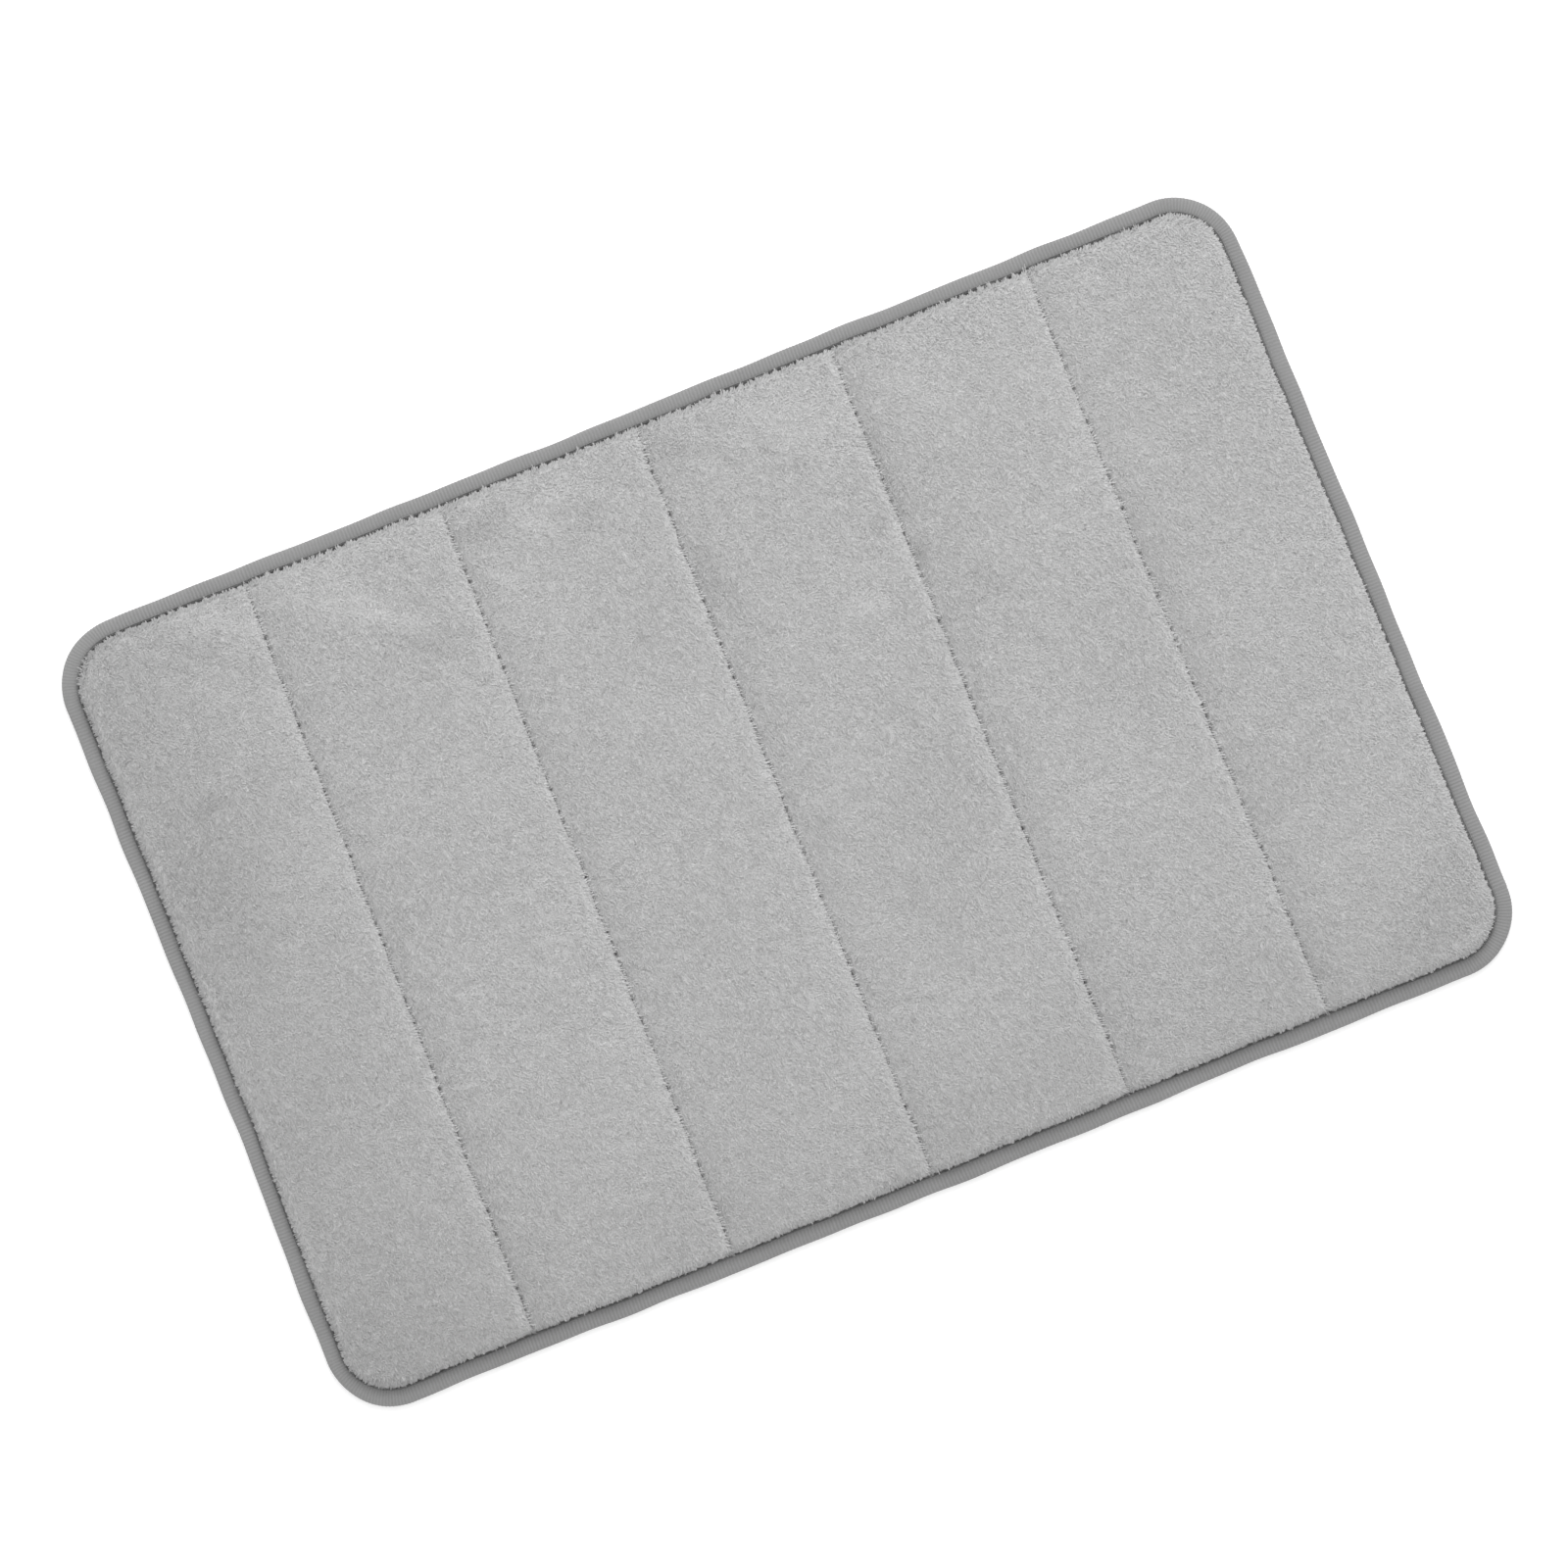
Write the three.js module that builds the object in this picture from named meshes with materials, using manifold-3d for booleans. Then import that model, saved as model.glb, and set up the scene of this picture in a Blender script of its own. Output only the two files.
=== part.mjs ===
// A quilted bath mat: plush face, foam core and anti-slip backing, bound with a folded tape.
// Millimetres, +Z up, X along the length. The origin is at the middle of the underside.
import * as THREE from 'three';
import { mergeVertices } from 'three/addons/utils/BufferGeometryUtils.js';
import Module from 'manifold-3d';

const wasm = await Module();
wasm.setup();

// Overall sizes, measured over the binding.
const matLength = 600;
const matWidth = 400;
const cornerRadius = 33;

// Plies, from the floor up.
const gripHeight = 0.9;
const backingThickness = 0.8;
const foamThickness = 9;
const coverBase = 1;
const pileHeight = 2.8;
const plyGap = 0.3;

// Binding: a tape folded over the edge of the cover and the backing.
const bindingWidth = 8.2;
const tapeThickness = 0.9;
const bindingSwell = 0.9;
const flangeThickness = 1.6;
const edgeRoom = 0.4;
const bindingSeamMargin = 0.9;

// How the padding rolls down to the binding.
const coverWall = 4;
const coverSide = 2.6;
const coverRoll = 10;
const foamWall = 3;
const foamRoll = 9;

// Quilting seams across the mat.
const seamCount = 5;
const seamPitch = 100;
const coverGrooveWidth = 24;
const coverGrooveDepth = 2.2;
const foamGrooveWidth = 20;
const foamGrooveDepth = 3;

// Sewing thread.
const threadDiameter = 0.4;
const threadGap = 0.1;
const seamEndRoom = 2.5;

// How finely curves are divided.
const cornerSteps = 8;
const rollSteps = 5;
const foldSteps = 8;
const grooveSteps = 8;
const threadSides = 6;

// Heights that follow from the plies.
const backingBottom = Math.max(gripHeight, tapeThickness) + plyGap;
const backingTop = backingBottom + backingThickness;
const foamBottom = backingTop + plyGap;
const foamTop = foamBottom + foamThickness;
const coverTop = foamTop + plyGap + coverBase + pileHeight;
const flangeTop = foamBottom + flangeThickness;
const legBottom = flangeTop + plyGap;
const legTop = legBottom + tapeThickness;
const foldHeight = legTop + bindingSwell;

// Distances inwards from the mat's outer edge. Cloth in the binding stops short of the inside of the fold,
// which is nearest at the height of the backing's lower face.
const foldRadius = foldHeight / 2;
const foldInside = foldRadius - tapeThickness;
const foldReach = Math.sqrt(foldInside ** 2 - (foldRadius - backingBottom) ** 2);
const bindingRoom = foldRadius - foldReach + edgeRoom;
const bindingSeamInset = bindingWidth - bindingSeamMargin;
const pileEdge = bindingWidth + plyGap;
const foamEdge = pileEdge + coverSide;

const plush = { color: 0xb1b1b1, roughness: 1, metalness: 0 };
const tape = { color: 0x929292, roughness: 0.85, metalness: 0 };
const thread = { color: 0x8a8a8a, roughness: 0.7, metalness: 0 };
const foam = { color: 0xd9d4c4, roughness: 0.95, metalness: 0 };
const cloth = { color: 0x9b9b9b, roughness: 0.9, metalness: 0 };
const pvc = { color: 0xc4c4c4, roughness: 0.5, metalness: 0 };

// Points round the mat's outer edge, anticlockwise, each with the direction that faces outwards.
function outline() {
  const stations = [];
  const centreX = matLength / 2 - cornerRadius;
  const centreY = matWidth / 2 - cornerRadius;
  const corners = [[1, 1], [-1, 1], [-1, -1], [1, -1]];
  corners.forEach(([sideX, sideY], quarter) => {
    for (let step = 0; step <= cornerSteps; step += 1) {
      const angle = (Math.PI / 2) * (quarter + step / cornerSteps);
      const facing = new THREE.Vector2(Math.cos(angle), Math.sin(angle));
      const point = new THREE.Vector2(sideX * centreX, sideY * centreY);
      stations.push({ point: point.addScaledVector(facing, cornerRadius), facing });
    }
  });
  return stations;
}

// Carries a section round the outline. Each section point is [distance inwards, height], and the section
// runs anticlockwise where the mat's outside is on its right. A closed section makes a loop; an open one
// starts and ends on the flat middle of the mat, and both ends are capped.
function sweepRound(section, closed) {
  const stations = outline();
  const positions = [];
  const index = [];
  for (const { point, facing } of stations) {
    for (const [inset, height] of section) {
      positions.push(point.x - facing.x * inset, point.y - facing.y * inset, height);
    }
  }
  const rows = stations.length;
  const columns = section.length;
  const spans = closed ? columns : columns - 1;
  for (let row = 0; row < rows; row += 1) {
    const nextRow = (row + 1) % rows;
    for (let column = 0; column < spans; column += 1) {
      const nextColumn = (column + 1) % columns;
      const here = row * columns + column;
      const above = row * columns + nextColumn;
      const beside = nextRow * columns + column;
      const across = nextRow * columns + nextColumn;
      index.push(here, beside, across, here, across, above);
    }
  }
  if (!closed) {
    const last = columns - 1;
    for (let row = 1; row < rows - 1; row += 1) {
      index.push(0, (row + 1) * columns, row * columns);
      index.push(last, row * columns + last, (row + 1) * columns + last);
    }
  }
  const geometry = new THREE.BufferGeometry();
  geometry.setAttribute('position', new THREE.Float32BufferAttribute(positions, 3));
  geometry.setIndex(index);
  return geometry;
}

// A level ply with upright sides.
function ply(inset, bottom, top) {
  return sweepRound([[inset, bottom], [inset, top]], false);
}

// The rounded shoulder of a padded layer: a quarter ellipse from its upright wall to its flat top.
function shoulder(inset, wallTop, width, top) {
  const points = [];
  for (let step = 0; step <= rollSteps; step += 1) {
    const angle = (Math.PI / 2) * (step / rollSteps);
    points.push([
      inset + width * (1 - Math.cos(angle)),
      wallTop + (top - wallTop) * Math.sin(angle),
    ]);
  }
  return points;
}

function toManifold(geometry) {
  const bare = geometry.clone();
  bare.deleteAttribute('normal');
  bare.deleteAttribute('uv');
  const merged = mergeVertices(bare);
  const vertProperties = new Float32Array(merged.attributes.position.array);
  const triVerts = new Uint32Array(merged.index.array);
  return new wasm.Manifold(new wasm.Mesh({ numProp: 3, vertProperties, triVerts }));
}

function toGeometry(solid) {
  const mesh = solid.getMesh();
  const geometry = new THREE.BufferGeometry();
  geometry.setAttribute('position', new THREE.BufferAttribute(mesh.vertProperties, 3));
  geometry.setIndex(new THREE.BufferAttribute(mesh.triVerts, 1));
  return geometry;
}

function seamPlaces() {
  const places = [];
  for (let seam = 0; seam < seamCount; seam += 1) {
    places.push((seam - (seamCount - 1) / 2) * seamPitch);
  }
  return places;
}

// A bar along Y with its section given as [x, z] points.
function bar(section, length) {
  const shape = new THREE.Shape(section.map(([x, z]) => new THREE.Vector2(x, z)));
  const geometry = new THREE.ExtrudeGeometry(shape, { depth: length, bevelEnabled: false });
  geometry.rotateX(Math.PI / 2);
  geometry.translate(0, length / 2, 0);
  return geometry;
}

// What a seam presses out of a layer whose flat top is at the given height: a smooth dip.
function grooveCutter(top, width, depth) {
  const clear = top + depth;
  const section = [[-width / 2, clear]];
  for (let step = 0; step <= grooveSteps; step += 1) {
    const along = (2 * step) / grooveSteps - 1;
    const dip = (depth * (1 + Math.cos(Math.PI * along))) / 2;
    section.push([(along * width) / 2, top - dip]);
  }
  section.push([width / 2, clear]);
  return bar(section, matWidth + 2 * cornerRadius);
}

// A square-sided channel for a thread.
function channelCutter(bottom, top) {
  const half = threadDiameter / 2 + threadGap;
  const section = [[-half, bottom], [half, bottom], [half, top], [-half, top]];
  return bar(section, matWidth + 2 * cornerRadius);
}

function cutAtSeams(solid, cutter) {
  let cut = solid;
  for (const place of seamPlaces()) {
    cut = cut.subtract(toManifold(cutter.clone().translate(place, 0, 0)));
  }
  return cut;
}

// The padding's outer shape with the seams pressed in, grown by the given clearance.
function paddingSolid(clearance) {
  const top = foamTop + clearance;
  const bottom = foamBottom - clearance;
  const edge = foamEdge - clearance;
  const wallTop = foamBottom + foamWall + clearance;
  const section = [[edge, bottom], ...shoulder(edge, wallTop, foamRoll, top)];
  const slab = toManifold(sweepRound(section, false));
  return cutAtSeams(slab, grooveCutter(top, foamGrooveWidth, foamGrooveDepth));
}

function foamCore() {
  const channelTop = foamBottom + threadDiameter + 2 * threadGap;
  return toGeometry(cutAtSeams(paddingSolid(0), channelCutter(foamBottom - plyGap, channelTop)));
}

const seamFloor = foamTop + plyGap - foamGrooveDepth + coverBase;

// The plush sheet: an outer skin at the pile's tips, hollow for the foam, with a flat flange in the binding.
function pileCover() {
  const section = [
    [bindingRoom, foamBottom],
    [bindingRoom, flangeTop],
    [pileEdge, flangeTop],
    ...shoulder(pileEdge, flangeTop + coverWall, coverRoll, coverTop),
  ];
  const skin = toManifold(sweepRound(section, false));
  const dipped = cutAtSeams(skin, grooveCutter(coverTop, coverGrooveWidth, coverGrooveDepth));
  const slotted = cutAtSeams(dipped, channelCutter(seamFloor, coverTop));
  return toGeometry(slotted.subtract(paddingSolid(plyGap)));
}

// The tape's section: a lower leg on the floor, a round fold at the outside, and an upper leg that swells
// and comes down to the seam. A notch under the lower leg takes the bobbin thread.
function bindingSection() {
  const notchHalf = threadDiameter / 2 + threadGap;
  const notchTop = threadDiameter + 2 * threadGap;
  const section = [
    [bindingWidth, 0],
    [bindingSeamInset + notchHalf, 0],
    [bindingSeamInset + notchHalf, notchTop],
    [bindingSeamInset - notchHalf, notchTop],
    [bindingSeamInset - notchHalf, 0],
  ];
  const fold = [];
  for (let step = 0; step <= foldSteps; step += 1) {
    const angle = Math.PI * (step / foldSteps);
    fold.push([Math.sin(angle), Math.cos(angle)]);
  }
  for (const [out, up] of fold) {
    section.push([foldRadius * (1 - out), foldRadius * (1 - up)]);
  }
  section.push([bindingWidth, legTop], [bindingWidth, legBottom]);
  for (const [out, up] of fold.reverse()) {
    section.push([foldRadius - foldInside * out, foldRadius - foldInside * up]);
  }
  section.push([bindingWidth, tapeThickness]);
  return section;
}

function threadSection(inset, height) {
  const section = [];
  for (let side = 0; side < threadSides; side += 1) {
    const angle = (2 * Math.PI * (side + 0.5)) / threadSides;
    section.push([
      inset - (threadDiameter / 2) * Math.cos(angle),
      height + (threadDiameter / 2) * Math.sin(angle),
    ]);
  }
  return section;
}

// Thread centres rest one gap above what they lie on.
const threadLift = threadGap + threadDiameter / 2;

// The upper leg's height at the binding seam, on the straight run from the fold to the inner edge.
function legHeightAtSeam() {
  const along = (bindingSeamInset - foldRadius) / (bindingWidth - foldRadius);
  return foldHeight - bindingSwell * along;
}

const mat = new THREE.Group();

function add(name, geometry, look) {
  const mesh = new THREE.Mesh(geometry, new THREE.MeshStandardMaterial(look));
  mesh.name = name;
  mat.add(mesh);
  return mesh;
}

add('grip_layer', ply(pileEdge, 0, gripHeight), pvc);
add('backing_cloth', ply(bindingRoom, backingBottom, backingTop), cloth);
add('foam_core', foamCore(), foam);
add('pile_cover', pileCover(), plush);
add('edge_binding', sweepRound(bindingSection(), true), tape);

const needleHeight = legHeightAtSeam() + threadLift;
add('binding_needle_thread', sweepRound(threadSection(bindingSeamInset, needleHeight), true), thread);
add('binding_bobbin_thread', sweepRound(threadSection(bindingSeamInset, threadLift), true), thread);

seamPlaces().forEach((place, seam) => {
  const needleLength = matWidth - 2 * (pileEdge + seamEndRoom);
  const needle = add(
    `seam_needle_thread_${seam + 1}`,
    bar(threadSection(0, seamFloor + threadLift), needleLength),
    thread,
  );
  needle.position.x = place;
  const bobbinLength = matWidth - 2 * (foamEdge + seamEndRoom);
  const bobbin = add(
    `seam_bobbin_thread_${seam + 1}`,
    bar(threadSection(0, foamBottom + threadLift), bobbinLength),
    thread,
  );
  bobbin.position.x = place;
});

export default mat;
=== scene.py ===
import math
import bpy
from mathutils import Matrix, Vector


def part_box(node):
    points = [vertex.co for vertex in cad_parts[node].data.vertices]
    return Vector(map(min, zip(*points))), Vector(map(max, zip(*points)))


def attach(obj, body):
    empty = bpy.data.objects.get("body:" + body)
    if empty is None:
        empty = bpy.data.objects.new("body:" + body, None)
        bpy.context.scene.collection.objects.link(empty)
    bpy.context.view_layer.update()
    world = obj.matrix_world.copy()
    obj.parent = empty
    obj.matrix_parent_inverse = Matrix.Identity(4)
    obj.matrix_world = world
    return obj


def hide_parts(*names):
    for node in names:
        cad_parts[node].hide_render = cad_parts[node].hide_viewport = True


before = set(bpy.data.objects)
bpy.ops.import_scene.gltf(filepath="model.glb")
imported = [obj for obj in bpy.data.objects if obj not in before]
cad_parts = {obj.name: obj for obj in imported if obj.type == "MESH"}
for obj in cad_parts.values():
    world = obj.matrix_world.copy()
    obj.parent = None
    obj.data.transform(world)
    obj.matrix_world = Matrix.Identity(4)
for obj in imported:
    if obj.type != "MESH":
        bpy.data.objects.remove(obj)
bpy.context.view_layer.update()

from types import SimpleNamespace

import bpy
import numpy as np
from mathutils import Vector

# A quilted bath mat: plush cover, foam, woven backing, grip dots, folded tape and its sewing thread.
# Lengths are in metres. X runs along the mat, Z is up and the mat's middle is at the origin.

MM = 0.001

# Sizes shared with the CAD model.
CORNER = 33 * MM
THREAD_RADIUS = 0.2 * MM
SEAM_COUNT = 5

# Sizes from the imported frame.
TAPE_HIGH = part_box("edge_binding")[1]
COVER_LOW, COVER_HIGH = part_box("pile_cover")
FOAM_LOW, FOAM_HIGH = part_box("foam_core")
CLOTH_LOW, CLOTH_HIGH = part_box("backing_cloth")
NEEDLE_BOXES = [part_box(f"seam_needle_thread_{number}") for number in range(1, SEAM_COUNT + 1)]
SEAMS = [(low.x + high.x) / 2 for low, high in NEEDLE_BOXES]
SEAM_END = NEEDLE_BOXES[0][1].y
HALF_X = TAPE_HIGH.x
HALF_Y = TAPE_HIGH.y
RIM_INSET = HALF_X - COVER_HIGH.x
FOAM_INSET = HALF_X - FOAM_HIGH.x
CLOTH_INSET = HALF_X - CLOTH_HIGH.x
GRIP_INSET = HALF_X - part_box("grip_layer")[1].x
THREAD_INSET = HALF_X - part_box("binding_needle_thread")[1].x + THREAD_RADIUS

# The tape.
TAPE_WIDTH = 8.6 * MM
TAPE_THICKNESS = 0.9 * MM
TAPE_INNER_TOP = 5.1 * MM
RIB_PITCH = 1.68 * MM
RIB_HEIGHT = 0.17 * MM
ROWS_PER_RIB = 5

# The cover, under its pile.
FLANGE_TOP = COVER_LOW.z + 1.6 * MM
WALL_INSET = 10.3 * MM
WALL_TOP = 8.6 * MM
ROLL = 3.4 * MM
COVER_TOP = COVER_HIGH.z - 2.2 * MM
CAVITY_INSET = 11.6 * MM
CAVITY_WALL = 7.4 * MM
CAVITY_TOP = FOAM_HIGH.z + 0.3 * MM
CROWN = 1.1 * MM
FACE_UNEVENNESS = 0.06 * MM

# Quilting seams: the stitches, the wide groove, the pinch beside the thread and the stitch holes.
STITCH_PITCH = 5.6 * MM
BINDING_STITCH = 4.0 * MM
POINTS_PER_STITCH = 10
GROOVE_DEPTH = 0.7 * MM
GROOVE_REACH = 6.5 * MM
PINCH_DEPTH = 0.4 * MM
PINCH_LEFT = 0.9 * MM
PINCH_RIGHT = 0.8 * MM
HOLE_DEPTH = 2.2 * MM
HOLE_REACH = 0.8 * MM
FOAM_GROOVE_DEPTH = 3.0 * MM
FOAM_GROOVE_REACH = 10 * MM

# Pile.
TUFT_SPACING = 0.91 * MM
TUFT_MARGIN = 0.2
TUFT_LENGTH = 2.4 * MM
TUFT_HALF_WIDTH = 0.28 * MM
TUFT_TILT = 58
TUFT_TWIST = 0.7
ROOT_DEPTH = 0.25 * MM
CLUMP_SIZE = 2.3 * MM
NAP_TURN = -50

# Unevenness of the real mat.
SIDE_REACH = 70 * MM
SEAM_WANDER = 0.16 * MM
PAD_SHIFT = 0.4 * MM
PAD_FOOT = 5 * MM

# How much lighter or darker the pile's colour is painted: painted light on the crest left of each seam,
# painted shade right of each seam (partly for the nap lying there), over the far rim that faces the key
# light, low in the groove by the tape and towards the left end and the lower side where the light falls
# off; and a random tone from lock to lock.
SEAM_LIGHT = 0.075
SEAM_LIGHT_REACH = 5 * MM
SEAM_SHADE = 0.095
SEAM_SHADE_REACH = 9 * MM
RIM_SHADE = 0.24
RIM_SHADE_REACH = 4.5 * MM
FLANGE_SHADE = 0.08
LEFT_END_SHADE = 0.12
LOWER_SIDE_SHADE = 0.07
TUFT_TONE_SPREAD = 0.036

# Brightness of each material, from 0 to 1.
PLUSH_GREY = 0.556
UNDER_PLUSH_SHARE = 0.93
TAPE_GREY = 0.262
THREAD_GREY = 0.24
FOAM_GREY = 0.68
BACKING_GREY = 0.33
GRIP_GREY = 0.55
FLOOR_GREY = 0.88

# The picture: the camera's direction in degrees, how far it stands off, the width it sees at the mat and
# how far it aims from the mat's middle, upwards and to the left.
CAMERA_AZIMUTH = -22.04
CAMERA_ELEVATION = 84
CAMERA_DISTANCE = 3.0
PICTURE_WIDTH = 0.7415
SENSOR_WIDTH = 36
AIM_HEIGHT = 6 * MM
AIM_UP = 5.8 * MM
AIM_LEFT = 1.5 * MM
FLOOR_HALF = 3.0
FLOOR_DROP = 0.05 * MM


# ---- shape of the plan

def rounded_inset(x, y, half_x, half_y, radius):
    """Distance inwards from a rounded rectangle's edge, and the direction that faces outwards."""
    past_x = np.abs(x) - (half_x - radius)
    past_y = np.abs(y) - (half_y - radius)
    in_corner = (past_x > 0) & (past_y > 0)
    reach = np.maximum(np.hypot(past_x, past_y), 1e-9)
    inset = np.where(in_corner, radius - reach, radius - np.maximum(past_x, past_y))
    facing_x = np.where(in_corner, past_x / reach, (past_x >= past_y).astype(float))
    facing_y = np.where(in_corner, past_y / reach, (past_x < past_y).astype(float))
    return inset, facing_x * np.sign(x), facing_y * np.sign(y)


def rounded_grid(xs, ys, half_x, half_y, radius):
    """A grid in the plan, bent so that its border follows the rounded rectangle."""
    x, y = np.meshgrid(xs, ys, indexing="ij")
    u = np.clip((np.abs(x) - (half_x - radius)) / radius, 0, 1)
    v = np.clip((np.abs(y) - (half_y - radius)) / radius, 0, 1)
    bent_x = np.sign(x) * (half_x - radius + radius * u * np.sqrt(1 - v * v / 2))
    bent_y = np.sign(y) * (half_y - radius + radius * v * np.sqrt(1 - u * u / 2))
    return np.where(u > 0, bent_x, x), np.where(v > 0, bent_y, y)


def outline_points(spacing):
    """Points round the mat's edge, anticlockwise from the right-hand side, their outward directions and
    their distances along the edge."""
    straight_x = 2 * (HALF_X - CORNER)
    straight_y = 2 * (HALF_Y - CORNER)
    arc = CORNER * math.pi / 2
    total = 2 * straight_x + 2 * straight_y + 4 * arc
    count = int(round(total / spacing))
    along = np.arange(count) * total / count
    legs = [
        ((HALF_X, -straight_y / 2), 0, straight_y),
        ((straight_x / 2, HALF_Y), 90, straight_x),
        ((-HALF_X, straight_y / 2), 180, straight_y),
        ((-straight_x / 2, -HALF_Y), 270, straight_x),
    ]
    point = np.zeros((count, 2))
    facing = np.zeros((count, 2))
    start = 0.0
    for begin, degrees, length in legs:
        angle = math.radians(degrees)
        out = np.array([math.cos(angle), math.sin(angle)])
        ahead = np.array([-out[1], out[0]])
        here = (along >= start) & (along < start + length)
        point[here] = begin + np.outer(along[here] - start, ahead)
        facing[here] = out
        start += length
        centre = begin + ahead * length - out * CORNER
        here = (along >= start) & (along < start + arc)
        turn = angle + (along[here] - start) / CORNER
        facing[here] = np.stack([np.cos(turn), np.sin(turn)], 1)
        point[here] = centre + CORNER * facing[here]
        start += arc
    return point, facing, along


def smooth_noise(x, y, wavelength, seed):
    """Smooth seeded noise of about unit strength: plane waves in random directions."""
    waves = 9
    spread_of_sum = 2.1
    rng = np.random.default_rng(seed)
    total = 0
    for _ in range(waves):
        angle = rng.uniform(0, 2 * math.pi)
        length = wavelength * rng.uniform(0.6, 1.6)
        phase = rng.uniform(0, 2 * math.pi)
        total = total + np.sin((x * math.cos(angle) + y * math.sin(angle)) * 2 * math.pi / length + phase)
    return total / spread_of_sum


def soft_step(value):
    """From 0 to 1 with level ends."""
    value = np.clip(value, 0, 1)
    return value * value * (3 - 2 * value)


# How far each side stands out, in mm, at places along it in mm.
SIDE_WAVES = {
    "top": ((-230, -150, -80, -10, 50, 110, 230), (-0.4, -1.1, -1.1, -1.0, -0.6, -0.2, -0.2)),
    "bottom": ((-230, -205, -160, -90, 0, 60, 150, 230), (-1.5, -1.8, -0.8, -0.6, -0.1, -0.2, -1.0, -0.6)),
    "left": ((-130, -100, -50, 0, 50, 130), (0.2, 0.0, -1.1, -0.2, 0.2, 1.1)),
    "right": ((-130, -60, 0, 60, 90, 130), (-0.2, -0.2, 0.3, 0.1, -0.2, 0.3)),
}
# How far each seam leans from straight, in mm, at its lower end, middle and upper end.
SEAM_LEANS = (
    (-4.6, -2.4, -0.2), (-4.1, -2.4, -0.6), (-3.4, -2.5, -0.7), (-3.3, -2.1, -0.5), (-2.2, -1.8, 0.0),
)


def side_wave(side, along):
    """How far one side stands out at each place along it, rounded between the given places."""
    window = 31
    places, heights = SIDE_WAVES[side]
    fine = np.arange(-260, 261, 2.0)
    steps = np.interp(fine, places, heights)
    kernel = np.hanning(window)
    smooth = np.convolve(np.pad(steps, window // 2, mode="edge"), kernel / kernel.sum(), mode="valid")
    start = len(side)
    ripple = 0.12 * np.sin(along / (9.1 * MM) + start) + 0.1 * np.sin(along / (5.3 * MM) + 2 * start)
    return (np.interp(along / MM, fine, smooth) + ripple) * MM


def settle(points):
    """The small unevenness of the real mat, shared by every piece so that all of them keep fitting: sides
    that wave a little, seams that lean and a pad that lies a little off the middle."""
    x, y = points[:, 0], points[:, 1]
    shift = np.zeros_like(points)
    for side, axis, sign in (("right", 0, 1), ("left", 0, -1), ("top", 1, 1), ("bottom", 1, -1)):
        past = sign * points[:, axis] - (HALF_X, HALF_Y)[axis]
        near = soft_step((past + SIDE_REACH) / SIDE_REACH)
        shift[:, axis] += sign * near * side_wave(side, points[:, 1 - axis])
    share_y = y / HALF_Y
    leans = []
    for low, middle, high in SEAM_LEANS:
        bend = (high + low) / 2 - middle
        leans.append((middle + share_y * (high - low) / 2 + share_y ** 2 * bend) * MM)
    wander = SEAM_WANDER * smooth_noise(x * 0.2, y, 30 * MM, 5)
    knots = [-HALF_X] + SEAMS + [HALF_X]
    values = [np.zeros_like(y)] + [lean + wander for lean in leans] + [np.zeros_like(y)]
    for left_end, right_end, low, high in zip(knots[:-1], knots[1:], values[:-1], values[1:]):
        inside = (x >= left_end) & (x < right_end)
        share = (x - left_end) / (right_end - left_end)
        shift[:, 0] += np.where(inside, low + (high - low) * share, 0)
    raised = soft_step((points[:, 2] - PAD_FOOT) / PAD_FOOT)
    shift[:, :2] -= PAD_SHIFT * raised[:, None]
    return points + shift


# ---- meshes

def add_object(name, data):
    """A new object in the scene."""
    made = bpy.data.objects.new(name, data)
    bpy.context.scene.collection.objects.link(made)
    return made


def fill(items, key, values, kind=np.float32):
    """Sets one property of many items at once."""
    items.foreach_set(key, np.ascontiguousarray(values, dtype=kind).ravel())


def make_piece(name, points, faces, uv=None, normals=None):
    """A smooth-shaded mesh object from arrays of points and of faces with equal numbers of corners."""
    mesh = bpy.data.meshes.new(name)
    mesh.vertices.add(len(points))
    fill(mesh.vertices, "co", points)
    mesh.loops.add(faces.size)
    fill(mesh.loops, "vertex_index", faces, np.int32)
    mesh.polygons.add(len(faces))
    fill(mesh.polygons, "loop_start", np.arange(0, faces.size, faces.shape[1]), np.int32)
    if uv is not None:
        layer_name, places = uv
        layer = mesh.uv_layers.new(name=layer_name)
        fill(layer.data, "uv", places[faces.ravel()])
    mesh.update(calc_edges=True)
    mesh.shade_smooth()
    if normals is not None:
        mesh.normals_split_custom_set_from_vertices(normals)
    return add_object(name, mesh)


def add_tone(piece, tone):
    """Stores the pile's tone, with its painted light and shade, at each point, for its material."""
    layer = piece.data.attributes.new("pile_tone_and_painted_shading", "FLOAT", "POINT")
    fill(layer.data, "value", tone)


def plan_places(points):
    """Positions in the plan, from 0 to 1 across the mat's length and a little room."""
    room = 40 * MM
    span = 2 * HALF_X + room
    return np.stack([points[:, 0] / span + 0.5, points[:, 1] / span + 0.5], 1)


def copied_faces(triangles, copies, points_each):
    """The same triangles on every copy of a small shape."""
    return (np.arange(copies)[:, None, None] * points_each + triangles).reshape(-1, 3)


def grid_faces(index):
    """Quads over a grid of point numbers."""
    return np.stack([index[:-1, :-1], index[1:, :-1], index[1:, 1:], index[:-1, 1:]], -1).reshape(-1, 4)


def tube_faces(rows, columns, row_loop):
    """Quads that join rings of points, where a ring's points run anticlockwise seen from ahead."""
    index = np.arange(rows * columns).reshape(rows, columns)
    index = np.concatenate([index, index[:, :1]], 1)
    if row_loop:
        index = np.concatenate([index, index[:1]])
    return grid_faces(index)


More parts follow.
